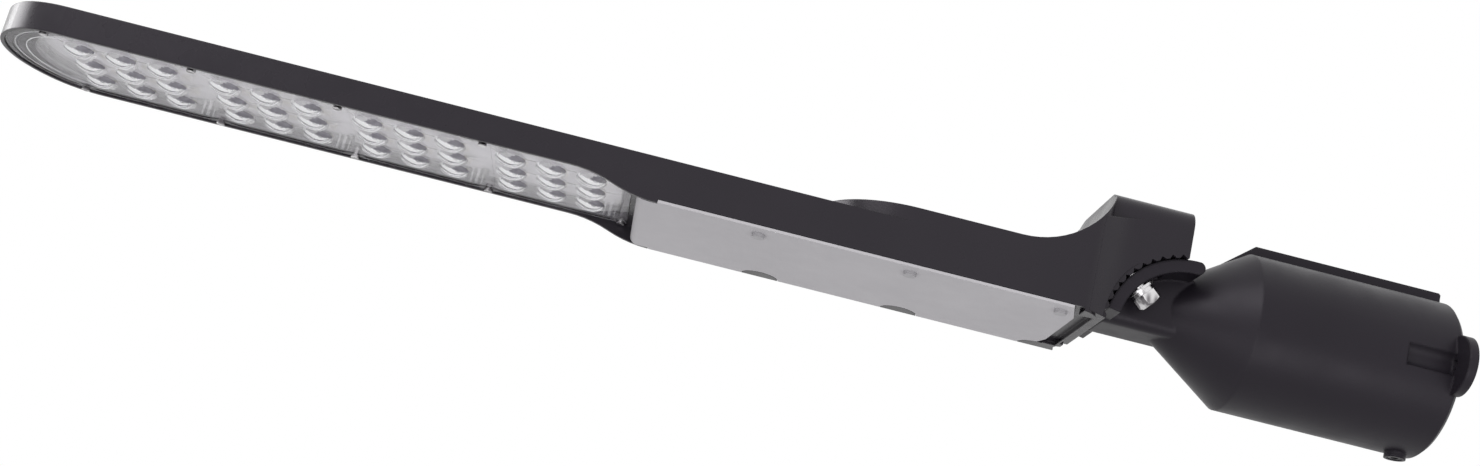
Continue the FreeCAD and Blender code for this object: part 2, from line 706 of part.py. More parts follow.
def make_cover_gasket():
    body = new_body("cover_gasket")
    z = cover_top_z
    half = inner_half_width - S["fit_gap"]
    ring = sketch(body, "cover_ring_plan", z=z)
    outline(ring, box_outline(bay_front_x - S["ledge_end"], cover_rear_x, -half, half))
    pad(body, ring, S["gasket_thickness"])
    opening = sketch(body, "cover_ring_opening", z=z - 1)
    outline(opening, box_outline(bay_front_x, bay_rear_x, -bay_half_width, bay_half_width))
    pocket(body, opening, S["gasket_thickness"] + 2)
    tabs = sketch(body, "cover_ring_tabs", z=z)
    boss_outlines(tabs)
    lug_outlines(tabs, S["notch_radius"] + S["boss_wall"], bay_half_width + 0.5)
    pad(body, tabs, S["gasket_thickness"])
    trim = sketch(body, "cover_ring_end", z=z - 1)
    outline(trim, box_outline(cover_rear_x, cover_rear_x + S["notch_radius"] * 2, 0, half + 1))
    pocket(body, trim, S["gasket_thickness"] + 2)
    rear = sketch(body, "cover_ring_corners", z=z - 1)
    corner_cuts(rear)
    pocket(body, rear, S["gasket_thickness"] + 2)
    drill(body, "cover_ring_holes", z - 1, S["gasket_thickness"] + 2,
          S["cover_screw_radius"] + S["hole_gap"], cover_screw_places())
    notches = sketch(body, "cover_ring_notches", z=z - 1)
    circles(notches, S["notch_radius"], notch_places())
    pocket(body, notches, S["gasket_thickness"] + 2)
    return body


def make_footed_box(label, front_x, length, half_width, height, ceiling_z):
    """A box that hangs from the bay's ceiling by two thin feet."""
    body = new_body(label)
    rear_x = front_x + length
    foot, foot_half = S["foot"], S["foot"] * 0.8
    box = sketch(body, label + "_plan", z=ceiling_z - height)
    outline(box, box_outline(front_x, rear_x, -half_width, half_width))
    pad(body, box, height)
    feet = sketch(body, label + "_feet", z=ceiling_z - S["foot_thickness"])
    outline(feet, box_outline(front_x - foot, front_x + 1, -foot_half, foot_half))
    outline(feet, box_outline(rear_x - 1, rear_x + foot, -foot_half, foot_half))
    pad(body, feet, S["foot_thickness"])
    drill(body, label + "_holes", ceiling_z - S["foot_thickness"] - 1, S["foot_thickness"] + 2,
          S["small_radius"] + S["hole_gap"], foot_places(front_x, length))
    round_edges(body, S["edge_round"], lambda edge: (
        edge.BoundBox.ZLength > 6 and edge.BoundBox.XLength + edge.BoundBox.YLength < 1e-6))
    return body


def make_terminal_block():
    """Three-way terminal block with its wire holes and screw wells."""
    body = new_body("terminal_block")
    x0 = terminal_x
    x1 = x0 + S["terminal_length"]
    half, height = S["terminal_half_width"], S["terminal_height"]
    box = sketch(body, "terminal_plan", z=deep_z - height)
    outline(box, box_outline(x0, x1, -half, half))
    pad(body, box, height)
    ears = sketch(body, "terminal_ears", z=deep_z - height - 1)
    ear = half - S["small_head_radius"] * 2 - 2
    outline(ears, box_outline(x0 - 1, x1 + 1, ear, half + 1))
    outline(ears, box_outline(x0 - 1, x1 + 1, -half - 1, -ear))
    pocket(body, ears, height - S["foot_thickness"] + 1)
    wires = sketch(body, "terminal_wires", "YZ_Plane", z=x0 - 1)
    pitch = ear * 2 / 3
    wire = pitch * 0.27
    circles(wires, wire, [(pitch * k, deep_z - height * 0.45) for k in (-1, 0, 1)])
    pocket(body, wires, S["terminal_length"] + 2)
    drill(body, "terminal_wells", deep_z - height - 1, height * 0.35, wire,
          [((x0 + x1) / 2, pitch * k) for k in (-1, 0, 1)])
    drill(body, "terminal_holes", deep_z - S["foot_thickness"] - 1, S["foot_thickness"] + 2,
          S["small_radius"] + S["hole_gap"], terminal_screw_places())
    return body


def make_cable_clamp():
    """An arch that holds the supply cable at its entry, screwed to the bay's ceiling."""
    body = new_body("cable_clamp")
    inner = S["entry_radius"]
    wall = S["clamp_wall"]
    outer = inner + wall
    foot = outer + S["foot"]
    centre_z = deep_z - outer
    arch = sketch(body, "clamp_profile", "YZ_Plane", z=clamp_x)
    thick = S["foot_thickness"]
    outline(arch, [(-foot, deep_z - thick), (-outer, deep_z - thick), (-outer, centre_z),
                   (0, centre_z - outer, outer, 1), (outer, centre_z, outer, 1), (outer, deep_z - thick),
                   (foot, deep_z - thick), (foot, deep_z), (inner, deep_z), (inner, centre_z),
                   (0, centre_z - inner, inner, -1), (-inner, centre_z, inner, -1), (-inner, deep_z),
                   (-foot, deep_z)])
    pad(body, arch, S["clamp_width"])
    drill(body, "clamp_holes", deep_z - thick - 1, thick + 2, S["small_radius"] + S["hole_gap"],
          clamp_screw_places())
    return body


def radial(name, kind, distance, side, **sizes):
    """A round piece on the clamp bolt's axis, at a distance from the tilt axis."""
    angle = S["bolt_angle"]
    return primitive(kind, name, tilt_x + distance * cosine(angle), S["bolt_side"] * side,
                     tilt_z + distance * sine(angle), 90 - angle, **sizes)


def ring_piece(name, distance, side, outer, inner, height):
    disc = radial(name + "_disc", "Part::Cylinder", distance, side, Radius=outer, Height=height)
    hole = radial(name + "_hole", "Part::Cylinder", distance - 1, side, Radius=inner, Height=height + 2)
    ring = doc.addObject("Part::Cut", name)
    ring.Base = disc
    ring.Tool = hole
    return ring


# The flat washer's rim touches the saddle's hollow side, apart from the running gap.
saddle_inner = S["saddle_radius"] - S["saddle_plate"]
washer_outer_r = saddle_inner - S["tooth_gap"]
washer_face = root(washer_outer_r * washer_outer_r - S["washer_radius"] * S["washer_radius"])
washer_back = washer_face - S["washer_thickness"]
spring_back = washer_back - S["spring_thickness"]
head_back = spring_back - S["bolt_head"]


def make_clamp_bolts():
    pieces = []
    for side in (-1, 1):
        head = radial("bolt_hexagon", "Part::Prism", head_back, side,
                      Circumradius=S["bolt_flats"] / math.sqrt(3), Height=S["bolt_head"])
        head.Polygon = 6
        crown = radial("bolt_crown", "Part::Cone", head_back, side, Radius1=S["bolt_flats"] * 0.47,
                       Radius2=S["bolt_flats"] * 0.47 + S["bolt_head"], Height=S["bolt_head"])
        rounded = doc.addObject("Part::MultiCommon", "bolt_head")
        rounded.Shapes = [head, crown]
        shank = radial("bolt_shank", "Part::Cylinder", spring_back - 1, side, Radius=S["bolt_radius"],
                       Height=seat_radius + S["bolt_depth"] - spring_back)
        bolt = doc.addObject("Part::MultiFuse", "clamp_bolt")
        bolt.Shapes = [rounded, shank]
        pieces.append(bolt)
    return gather("clamp_bolts", pieces)


def make_flat_washers():
    hole = S["bolt_radius"] + S["hole_gap"]
    return gather("flat_washers", [
        ring_piece("flat_washer", washer_back, side, S["washer_radius"], hole, S["washer_thickness"])
        for side in (-1, 1)])


def make_spring_washers():
    """Split rings, each with its gap turned away from the neck."""
    hole = S["bolt_radius"] + S["hole_gap"]
    pieces = []
    for side in (-1, 1):
        ring = ring_piece("spring_ring", spring_back, side, S["spring_radius"], hole, S["spring_thickness"])
        split = radial("spring_split", "Part::Box", spring_back - 1, side, Length=S["spring_radius"] + 1,
                       Width=0.8, Height=S["spring_thickness"] + 2)
        piece = doc.addObject("Part::Cut", "spring_washer")
        piece.Base = ring
        piece.Tool = split
        pieces.append(piece)
    return gather("spring_washers", pieces)


def make_pole_bracket():
    """One casting: toothed saddle, neck, cone and pole socket."""
    body = new_body("pole_bracket")
    wall_r = S["socket_radius"]
    cone_x, shoulder_x = -S["cone_start"], -S["cone_end"]
    turned = sketch(body, "socket_profile", "XZ_Plane")
    chamfer = S["mouth_chamfer"]
    outline(turned, [(cone_x, 0), (0, 0), (0, wall_r - chamfer), (-chamfer, wall_r),
                     (shoulder_x, wall_r), (cone_x, S["cone_radius"])])
    spun = body.newObject("PartDesign::Revolution", "socket")
    spun.Profile = turned
    spun.ReferenceAxis = (turned, ["H_Axis"])
    spun.Angle = 360
    doc.recompute()

    # The neck runs from inside the saddle's plate into the cone.
    floor, middle_r = S["neck_floor"], S["saddle_radius"] - S["saddle_plate"] / 2
    into_cone = S["neck_overlap"]
    neck = sketch(body, "neck_profile", "XZ_Plane", x=tilt_x, y=tilt_z)
    outline(neck, [(-root(middle_r * middle_r - floor * floor), floor), (0, middle_r, middle_r, -1),
                   (into_cone, middle_r - S["neck_fall"]), (into_cone, floor)])
    pad(body, neck, S["neck_half_width"] * 2, symmetric=True)
    round_edges(body, S["neck_round"], lambda edge: (
        edge.BoundBox.YLength + edge.BoundBox.ZLength < 1e-6 and edge.BoundBox.XLength > 15
        and abs(edge.BoundBox.ZMin - tilt_z.value - floor.value) < 1e-6))

    outer, low, high = S["saddle_radius"], S["saddle_low_angle"], S["saddle_high_angle"]
    plate_round = S["saddle_plate"] / 2
    saddle = sketch(body, "saddle_profile", "XZ_Plane", x=tilt_x, y=tilt_z)
    mid = (low + high) / 2
    outline(saddle, [
        (outer * cosine(low), outer * sine(low)), (outer * cosine(mid), outer * sine(mid), outer, -1),
        (outer * cosine(high), outer * sine(high), outer, -1),
        (saddle_inner * cosine(high), saddle_inner * sine(high), plate_round * 1.02, -1),
        (saddle_inner * cosine(mid), saddle_inner * sine(mid), saddle_inner, 1),
        (saddle_inner * cosine(low), saddle_inner * sine(low), saddle_inner, 1)])
    pad(body, saddle, S["saddle_half_width"] * 2, symmetric=True)

    rib = sketch(body, "rib_profile", "XZ_Plane")
    rise = S["rib_rise"]
    slope = (wall_r - S["cone_radius"]) / (S["cone_start"] - S["cone_end"])
    kink_x = shoulder_x + S["rib_lead"]
    on_cone = S["rib_run"] - S["rib_lead"]
    outline(rib, [(kink_x - S["rib_run"], wall_r - on_cone * slope - 1.5),
                  (shoulder_x, wall_r - 1), (-chamfer, wall_r - chamfer - 1), (0, wall_r - chamfer - 1),
                  (0, wall_r + rise - 1), (-1, wall_r + rise), (kink_x, wall_r + rise)])
    pad(body, rib, S["rib_half_width"] * 2, symmetric=True)

    ears = sketch(body, "ear_section", "YZ_Plane", z=-S["ear_thickness"])
    reach = S["ear_offset"]
    circles(ears, S["ear_radius"], [(-reach, 0), (reach, 0)])
    pad(body, ears, S["ear_thickness"])

    boss = sketch(body, "boss_plan", x=-S["boss_position"], z=-(wall_r + S["boss_rise"]))
    circles(boss, S["boss_radius"], [(0, 0)])
    pad(body, boss, S["boss_rise"] + wall_r - S["bore_radius"] - 1)

    # Hollows: pole bore, inner cone, cable duct, scoops, ear holes and set screw hole.
    hollow = sketch(body, "bore_profile", "XZ_Plane")
    bore, duct = S["bore_radius"], S["duct_radius"]
    depth, taper = S["bore_length"], S["inner_cone"]
    shelf = duct + S["bush_shelf"]
    outline(hollow, [(1, 0), (1, bore), (-depth, bore), (-depth - taper, shelf), (-depth - taper, 0)])
    cut_round(body, hollow)
    passage = sketch(body, "duct_section", "YZ_Plane", z=tilt_x - outer - 1)
    circles(passage, duct, [(0, 0)])
    pocket(body, passage, outer + S["cone_start"])
    scoops = sketch(body, "scoop_section", "YZ_Plane", z=-S["ear_thickness"] - S["scoop_length"])
    circles(scoops, S["scoop_radius"], [(-S["scoop_offset"], 0), (S["scoop_offset"], 0)])
    pocket(body, scoops, S["scoop_length"])
    holes = sketch(body, "ear_holes", "YZ_Plane", z=-S["ear_thickness"] - 1)
    circles(holes, S["ear_hole"], [(-reach, 0), (reach, 0)])
    pocket(body, holes, S["ear_thickness"] + 2)
    drill(body, "set_screw_hole", -(wall_r + S["boss_rise"]) - 1, wall_r,
          S["set_radius"] + S["hole_gap"], [(-S["boss_position"], 0)])

    # Arc slots that let the clamp bolts travel
    reach_out, reach_in = outer + 1, saddle_inner - 1
    slot_half = S["bolt_radius"] + S["slot_gap"]
    sweep = S["tilt_range"] + slot_half / saddle_inner * (180 / math.pi)
    low_end, high_end = S["bolt_angle"] + sweep, S["bolt_angle"] - sweep
    for side_name, hand in (("near", -1), ("far", 1)):
        lane = sketch(body, "slot_" + side_name, "XZ_Plane", x=tilt_x, y=tilt_z,
                      z=-(S["bolt_side"] * hand) - slot_half)
        outline(lane, [
            (reach_out * cosine(low_end), reach_out * sine(low_end)),
            (reach_out * cosine(high_end), reach_out * sine(high_end), reach_out, -1),
            (reach_in * cosine(high_end), reach_in * sine(high_end)),
            (reach_in * cosine(low_end), reach_in * sine(low_end), reach_in, 1)])
        pocket(body, lane, slot_half * 2)

    # Room above the saddle for the head's rear face at the end of its travel. Under a large saddle
    # the neck and the cone already lie clear of it.
    back = S["block_reach"] - S["swing_gap"]
    cos_swing, sin_swing = cosine(S["tilt_range"]), sine(S["tilt_range"])
    low_h, high_h = root(outer * outer - back * back), S["block_height"] + S["face_rise"]
    start = S["bolt_angle"] - 27
    relief = sketch(body, "swing_relief", "XZ_Plane", x=tilt_x, y=tilt_z)
    outline(relief, [
        (outer * cosine(start), outer * sine(start)),
        (low_h * sin_swing - back * cos_swing, low_h * cos_swing + back * sin_swing, outer, -1),
        (high_h * sin_swing - back * cos_swing, high_h * cos_swing + back * sin_swing),
        (outer * cosine(start), high_h)])
    pocket(body, relief, S["block_half_width"] * 2 + 4, symmetric=True, may_miss=True)

    space = tooth_sketch(body, "saddle_tooth", outer - S["tooth_depth"], outer,
                         S["tooth_first"] - S["tooth_pitch"] * 1.5)
    cut = pocket(body, space, (S["saddle_half_width"] - S["saddle_rim"]) * 2, symmetric=True)
    repeat_round(body, cut, space, S["tooth_count"] - 1, -S["tooth_pitch"])
    return body


def cut_round(body, profile):
    before = body.Shape.Volume
    groove = body.newObject("PartDesign::Groove", "Groove_" + profile.Name)
    groove.Profile = profile
    groove.ReferenceAxis = (profile, ["H_Axis"])
    groove.Angle = 360
    doc.recompute()
    if body.Shape.Volume > before - 1e-3:
        raise RuntimeError(f"{profile.Name} cut nothing")
    return groove


def make_duct_bush():
    """Rubber bush at the socket end of the cable duct."""
    body = new_body("duct_bush")
    start_x = -S["bore_length"] - S["inner_cone"]
    outer = S["duct_radius"] - S["bush_gap"]
    inner = outer - S["bush_wall"]
    back_x, front_x = start_x - S["bush_length"], start_x + S["bush_flange"]
    rim = S["duct_radius"] + S["bush_shelf"] - S["fit_gap"]
    turned = sketch(body, "bush_profile", "XZ_Plane")
    outline(turned, [(back_x, inner), (front_x, inner), (front_x, rim), (start_x, rim),
                     (start_x, outer), (back_x, outer)])
    spun = body.newObject("PartDesign::Revolution", "bush")
    spun.Profile = turned
    spun.ReferenceAxis = (turned, ["H_Axis"])
    spun.Angle = 360
    doc.recompute()
    return body


def make_set_screw():
    """Socket set screw in the bottom boss; its point stays clear of the bore."""
    low = -(S["socket_radius"] + S["boss_rise"]) + 0.4
    high = -(S["bore_radius"] + S["fit_gap"])
    body_piece = primitive("Part::Cylinder", "set_body", -S["boss_position"], 0, low,
                           Radius=S["set_radius"], Height=high - low)
    socket = primitive("Part::Prism", "set_socket", -S["boss_position"], 0, low - 1,
                       Circumradius=S["set_socket"], Height=5)
    socket.Polygon = 6
    screw = doc.addObject("Part::Cut", "pole_set_screw")
    screw.Base = body_piece
    screw.Tool = socket
    screw.Label = "pole_set_screw"
    return screw


parts = [make_housing(), make_lens_plate(), make_lens_gasket()]
for board_number, board_x in enumerate(group_places(), start=1):
    parts.append(make_board(board_number, board_x))
parts += [
    make_chips(),
    make_small_screws("lens_screws", lens_screw_places(), plate_z,
                      S["plate_thickness"] + S["gasket_thickness"] + S["small_grip"]),
    make_small_screws("board_screws", board_screw_places(), floor_z - S["board_thickness"],
                      S["board_thickness"] + S["small_grip"]),
    make_driver_cover(),
    make_cover_gasket(),
    make_screws("cover_screws", cover_screw_places(), cover_z, S["cover_grip"],
                S["cover_screw_radius"], S["cover_head_radius"], S["cover_head"]),
    make_footed_box("led_driver", driver_front_x, S["driver_length"], S["driver_half_width"],
                    S["driver_height"], deep_z),
    make_small_screws("driver_screws", driver_screw_places(), deep_z - S["foot_thickness"],
                      S["foot_thickness"] + S["small_grip"]),
    make_footed_box("surge_protector", surge_rear_x - S["surge_length"], S["surge_length"],
                    S["surge_half_width"], S["surge_height"], floor_z),
    make_small_screws("surge_screws", surge_screw_places(), floor_z - S["foot_thickness"],
                      S["foot_thickness"] + S["small_grip"]),
    make_terminal_block(),
    make_small_screws("terminal_screws", terminal_screw_places(), deep_z - S["foot_thickness"],
                      S["foot_thickness"] + S["small_grip"]),
    make_cable_clamp(),
    make_small_screws("cable_clamp_screws", clamp_screw_places(), deep_z - S["foot_thickness"],
                      S["foot_thickness"] + S["small_grip"]),
    make_clamp_bolts(),
    make_flat_washers(),
    make_spring_washers(),
    make_pole_bracket(),
    make_duct_bush(),
    make_set_screw(),
]
doc.recompute()

for item in doc.Objects:
    if "Invalid" in item.State or "Error" in item.State:
        raise RuntimeError(f"{item.Name} failed: {item.State}")
os.makedirs("parts", exist_ok=True)
for part in parts:
    shape = part.Shape
    if shape.isNull() or not shape.isValid():
        raise RuntimeError(f"{part.Label} has no valid shape")
    shape.exportStep(f"parts/{part.Label}.step")
    print(part.Label, "solids", len(shape.Solids), "volume", round(shape.Volume, 1))
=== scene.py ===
# Studio picture of the LED street light head, seen from below and from its near side.
import json
import math

import bmesh
import bpy
from mathutils import Matrix, Vector, geometry

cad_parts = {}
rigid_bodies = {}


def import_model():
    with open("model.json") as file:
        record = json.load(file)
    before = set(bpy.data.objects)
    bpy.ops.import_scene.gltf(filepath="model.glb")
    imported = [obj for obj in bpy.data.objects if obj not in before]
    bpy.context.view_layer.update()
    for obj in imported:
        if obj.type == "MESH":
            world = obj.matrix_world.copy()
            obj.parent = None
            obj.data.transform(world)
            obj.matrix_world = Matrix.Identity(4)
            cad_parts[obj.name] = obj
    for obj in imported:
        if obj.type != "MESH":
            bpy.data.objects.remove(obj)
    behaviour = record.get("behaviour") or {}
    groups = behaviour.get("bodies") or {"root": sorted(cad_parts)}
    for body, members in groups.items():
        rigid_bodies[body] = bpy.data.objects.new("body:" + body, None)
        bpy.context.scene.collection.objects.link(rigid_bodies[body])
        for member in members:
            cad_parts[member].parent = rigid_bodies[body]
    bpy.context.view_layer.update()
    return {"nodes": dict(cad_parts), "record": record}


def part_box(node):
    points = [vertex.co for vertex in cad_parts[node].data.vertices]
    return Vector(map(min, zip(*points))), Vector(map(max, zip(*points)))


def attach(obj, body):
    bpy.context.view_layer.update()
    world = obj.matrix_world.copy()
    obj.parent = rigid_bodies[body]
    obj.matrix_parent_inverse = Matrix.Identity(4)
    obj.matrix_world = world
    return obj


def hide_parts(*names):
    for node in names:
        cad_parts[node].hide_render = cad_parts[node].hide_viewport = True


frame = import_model()

# The photograph's frame and the camera that was fitted to it
PHOTO_WIDTH = 1480
PHOTO_HEIGHT = 466
SENSOR = 36.0
FOCAL_PIXELS = 1800
PRINCIPAL_X = 753.1
PRINCIPAL_Y = 268.4
CAMERA_PLACE = (-0.43607, -0.96494, -0.28324)
CAMERA_RIGHT = (0.9687, -0.1066, 0.2241)
CAMERA_DOWN = (0.2434, 0.2331, -0.9415)
CAMERA_FORWARD = (0.0482, 0.9666, 0.2517)
CLIP = (0.01, 50)


# Materials

# Where a noise pattern starts and ends when it is spread over a range of values
PATTERN_START, PATTERN_END = 0.3, 0.7
COAT_TINT = (0.97, 0.92, 1.0, 1)
LENS_IOR = 1.5


class Paint:
    """A node material that is built up step by step."""

    def __init__(self, name, color, roughness, **inputs):
        self.material = bpy.data.materials.new(name)
        self.material.use_nodes = True
        self.tree = self.material.node_tree
        self.shader = self.tree.nodes["Principled BSDF"]
        self.shader.inputs["Base Color"].default_value = (*color, 1)
        self.shader.inputs["Roughness"].default_value = roughness
        for socket, value in inputs.items():
            self.shader.inputs[socket.replace("_", " ")].default_value = value
        self.place = self.add("ShaderNodeTexCoord").outputs["Object"]
        self.normal = None

    def add(self, kind, **settings):
        node = self.tree.nodes.new(kind)
        for name, value in settings.items():
            setattr(node, name, value)
        return node

    def link(self, source, target):
        self.tree.links.new(source, target)

    def noise(self, scale, detail=3.0, stretch=(1, 1, 1)):
        mapping = self.add("ShaderNodeMapping")
        mapping.inputs["Scale"].default_value = stretch
        self.link(self.place, mapping.inputs["Vector"])
        noise = self.add("ShaderNodeTexNoise")
        noise.inputs["Scale"].default_value = scale
        noise.inputs["Detail"].default_value = detail
        self.link(mapping.outputs["Vector"], noise.inputs["Vector"])
        return noise.outputs["Fac"]

    def vary_roughness(self, pattern, low, high):
        spread = self.add("ShaderNodeMapRange")
        for name, value in (("From Min", PATTERN_START), ("From Max", PATTERN_END),
                            ("To Min", low), ("To Max", high)):
            spread.inputs[name].default_value = value
        self.link(pattern, spread.inputs["Value"])
        self.link(spread.outputs["Result"], self.shader.inputs["Roughness"])

    def tint(self, pattern, dark, light, start=PATTERN_START, end=PATTERN_END):
        ramp = self.add("ShaderNodeValToRGB")
        stops = ramp.color_ramp.elements
        stops[0].position, stops[1].position = start, end
        stops[0].color, stops[1].color = (*dark, 1), (*light, 1)
        self.link(pattern, ramp.inputs["Fac"])
        self.link(ramp.outputs["Color"], self.shader.inputs["Base Color"])

    def bump(self, pattern, strength, distance):
        """A fine relief, on top of the softened edges where there are any."""
        bump = self.add("ShaderNodeBump")
        bump.inputs["Strength"].default_value = strength
        bump.inputs["Distance"].default_value = distance
        self.link(pattern, bump.inputs["Height"])
        if self.normal:
            self.link(self.normal, bump.inputs["Normal"])
        self.normal = bump.outputs["Normal"]
        self.link(self.normal, self.shader.inputs["Normal"])

    def soften(self, radius):
        """Rounds the look of sharp edges."""
        bevel = self.add("ShaderNodeBevel", samples=4)
        bevel.inputs["Radius"].default_value = radius
        self.normal = bevel.outputs["Normal"]
        self.link(self.normal, self.shader.inputs["Normal"])


def powder_coat(name, dark, light, roughness, level, softness):
    """The dark coat of the castings, with a fine grain."""
    paint = Paint(name, dark, roughness, Specular_IOR_Level=level)
    paint.shader.inputs["Specular Tint"].default_value = COAT_TINT
    paint.soften(softness)
    paint.tint(paint.noise(9.0), dark, light)
    paint.vary_roughness(paint.noise(60.0), roughness - 0.04, roughness + 0.05)
    paint.bump(paint.noise(1500.0, 2.0), 0.25, 0.00015)
    return paint.material


def mottled(name, color, roughness, scale, low, high, **inputs):
    """A plain material whose roughness varies between low and high."""
    paint = Paint(name, color, roughness, **inputs)
    paint.vary_roughness(paint.noise(scale), low, high)
    return paint.material


def make_cover_grey():
    cover = Paint("cover_grey", (0.52, 0.505, 0.53), 0.55, Specular_IOR_Level=0.35)
    cover.soften(0.0004)
    cover.tint(cover.noise(14.0), (0.50, 0.485, 0.51), (0.54, 0.525, 0.55))
    cover.vary_roughness(cover.noise(90.0), 0.5, 0.62)
    cover.bump(cover.noise(1800.0, 2.0), 0.2, 0.0001)
    return cover.material


def make_painted_screw():
    painted = Paint("painted_screw", (0.40, 0.39, 0.41), 0.42, Specular_IOR_Level=0.35)
    painted.soften(0.0004)
    painted.vary_roughness(painted.noise(300.0), 0.36, 0.5)
    return painted.material


def make_clear_lens():
    lens = Paint("clear_polycarbonate", (0.98, 0.97, 0.99), 0.03, IOR=LENS_IOR,
                 Transmission_Weight=1.0, Alpha=0.6)
    lens.vary_roughness(lens.noise(40.0), 0.015, 0.05)
    return lens.material


def make_lens_painted_shade():
    # A dark tint that paints shade on the lens's sunken facets, lines, ribs and tip arcs
    shade = Paint("lens_painted_shade", (0.22, 0.21, 0.25), 0.10, IOR=LENS_IOR, Alpha=0.8)
    shade.tint(shade.noise(300.0), (0.12, 0.115, 0.14), (0.22, 0.21, 0.25))
    return shade.material


def make_board_white():
    board = Paint("board_white", (0.84, 0.82, 0.87), 0.4)
    board.tint(board.noise(120.0), (0.82, 0.80, 0.85), (0.88, 0.86, 0.91))
    return board.material


def make_led_chip():
    chip = Paint("led_phosphor", (0.82, 0.79, 0.70), 0.35)
    chip.tint(chip.noise(600.0), (0.80, 0.76, 0.66), (0.84, 0.81, 0.74))
    return chip.material


def make_stainless():
    """Bright steel with streaks that stand in for a room's reflections."""
    steel = Paint("stainless", (0.50, 0.49, 0.50), 0.22, Metallic=1.0)
    steel.soften(0.0003)
    steel.tint(steel.noise(150.0, 1.0, (1.5, 3, 0.4)), (0.22, 0.21, 0.22), (0.74, 0.73, 0.74),
               start=0.42, end=0.56)
    steel.vary_roughness(steel.noise(300.0, stretch=(1, 1, 6)), 0.16, 0.30)
    return steel.material


def make_driver_case():
    case = Paint("driver_case", (0.60, 0.61, 0.62), 0.35, Metallic=1.0)
    case.vary_roughness(case.noise(120.0, stretch=(1, 8, 1)), 0.28, 0.42)
    return case.material


def make_materials():
    return {
        "housing": powder_coat("satin_anthracite", dark=(0.0125, 0.0105, 0.0145), light=(0.0165, 0.014, 0.0185),
                               roughness=0.27, level=0.33, softness=0.001),
        "bracket": powder_coat("cast_anthracite", dark=(0.0115, 0.0095, 0.0135), light=(0.0160, 0.0135, 0.0185),
                               roughness=0.40, level=0.25, softness=0.002),
        "cover": make_cover_grey(),
        "painted": make_painted_screw(),
        "lens": make_clear_lens(),
        # Bright white that paints highlights on the lens's raised patches, lines, ribs and tip arcs
        "lens painted highlight": mottled("lens_painted_highlight", (0.93, 0.93, 0.95), 0.16, 500.0, 0.10, 0.22, IOR=LENS_IOR),
        "lens painted shade": make_lens_painted_shade(),
        "board": make_board_white(),
        "chip": make_led_chip(),
        "steel": make_stainless(),
        "dark steel": mottled("blackened_steel", (0.03, 0.028, 0.032), 0.4, 300.0, 0.34, 0.5,
                              Specular_IOR_Level=0.4),
        "rubber": mottled("black_silicone", (0.02, 0.02, 0.021), 0.6, 200.0, 0.52, 0.68),
        "pale rubber": mottled("white_silicone", (0.86, 0.84, 0.88), 0.5, 200.0, 0.45, 0.6),
        "case": make_driver_case(),
        "black": mottled("black_plastic", (0.02, 0.02, 0.02), 0.45, 160.0, 0.4, 0.55),
        "white": mottled("white_plastic", (0.72, 0.72, 0.70), 0.4, 160.0, 0.34, 0.48),
    }


MATERIAL_OF_SLOT = {
    "housing_paint": "housing",
    "bracket_paint": "bracket",
    "clear_lens": "lens",
    "board_white": "board",
    "led_emitter": "chip",
    "cover_grey": "cover",
    "seal": "rubber",
    "light_seal": "pale rubber",
    "driver_case": "case",
    "black_plastic": "black",
    "white_plastic": "white",
    "stainless": "steel",
}
MATERIAL_OF_NODE = {"cover_screws": "painted", "pole_set_screw": "dark steel"}


def dress_frame(materials):
    """Gives every CAD node its own material or that of its slot."""
    for row in frame["record"]["subparts"]:
        node = bpy.data.objects[row["node"]]
        name = MATERIAL_OF_NODE.get(row["node"]) or MATERIAL_OF_SLOT[row["material_slot"]]
        material = materials[name]
        if not node.material_slots:
            node.data.materials.append(material)
        for slot in node.material_slots:
            slot.material = material


# Meshes. Their measures are in millimetres, and add_ring turns them into metres.

MM_PER_M = 1000


def add_ring(mesh, places):
    return [mesh.verts.new(Vector(place) / MM_PER_M) for place in places]


def bridge(mesh, lower, upper, closed=True):
    """Faces between two rows of corners that have the same length."""
    made = []
    for i in range(len(lower) if closed else len(lower) - 1):
        k = (i + 1) % len(lower)
        made.append(mesh.faces.new((lower[i], lower[k], upper[k], upper[i])))
    return made


def fill(mesh, loops):
    """Faces inside the first loop and outside the others."""
    edges = []
    for loop in loops:
        for i, corner in enumerate(loop):
            other = loop[(i + 1) % len(loop)]
            edges.append(mesh.edges.get((corner, other)) or mesh.edges.new((corner, other)))
    bmesh.ops.triangle_fill(mesh, use_beauty=True, use_dissolve=False, edges=edges)


def finish_piece(name, mesh, paints, sharp_from):
    """Turns a mesh into an object. Edges above the angle, in degrees, stay sharp."""
    bmesh.ops.recalc_face_normals(mesh, faces=mesh.faces)
    data = bpy.data.meshes.new(name)
    mesh.to_mesh(data)
    mesh.free()
    data.shade_smooth()
    data.set_sharp_from_angle(angle=math.radians(sharp_from))
    for paint in paints:
        data.materials.append(paint)
    piece = bpy.data.objects.new(name, data)
    bpy.context.scene.collection.objects.link(piece)
    return piece


# Lens plate

GROUPS = 4
GROUP_PITCH = 78.4
FIRST_GROUP_X = -743.2
LENS_PITCH = 22.5
LENS_COLUMNS = [FIRST_GROUP_X + group * GROUP_PITCH + step * LENS_PITCH
                for group in range(GROUPS) for step in (-1, 0, 1)]
LENS_ROWS = (-25.5, -1.5, 22.5)
FIRST_SCREW_X = -780.2
SCREW_PLACES = [FIRST_SCREW_X + GROUP_PITCH * step for step in range(GROUPS + 1)]
OUTLINE_STEP = 1.6

# The plate's rim is a little lower than the middle, and wider at the screws
PLATE_LOW = -12.9
LENS_LEVEL = -12.4
RIM_WIDTH = 3.2
RIM_SWELL = 3.6
SWELL_REACH = 5.5
PLATE_HALF_WIDTH = 40
RIM_SLANT = 0.5

# One lens: a dome with a raised patch painted as a highlight and a sunken facet painted as shade
LENS_HALF_LENGTH = 8.8
LENS_HALF_WIDTH = 10.6
LENS_HEIGHT = 3.8
DOME_FULLNESS = 0.55
PAINTED_HIGHLIGHT_RAISED = 0.3
PAINTED_SHADE_FACET_SUNK = 0.2
SEGMENTS = 60
RINGS = 24

# The clear lens, its painted highlights and its painted shade
FINISHES = ["lens", "lens painted highlight", "lens painted shade"]
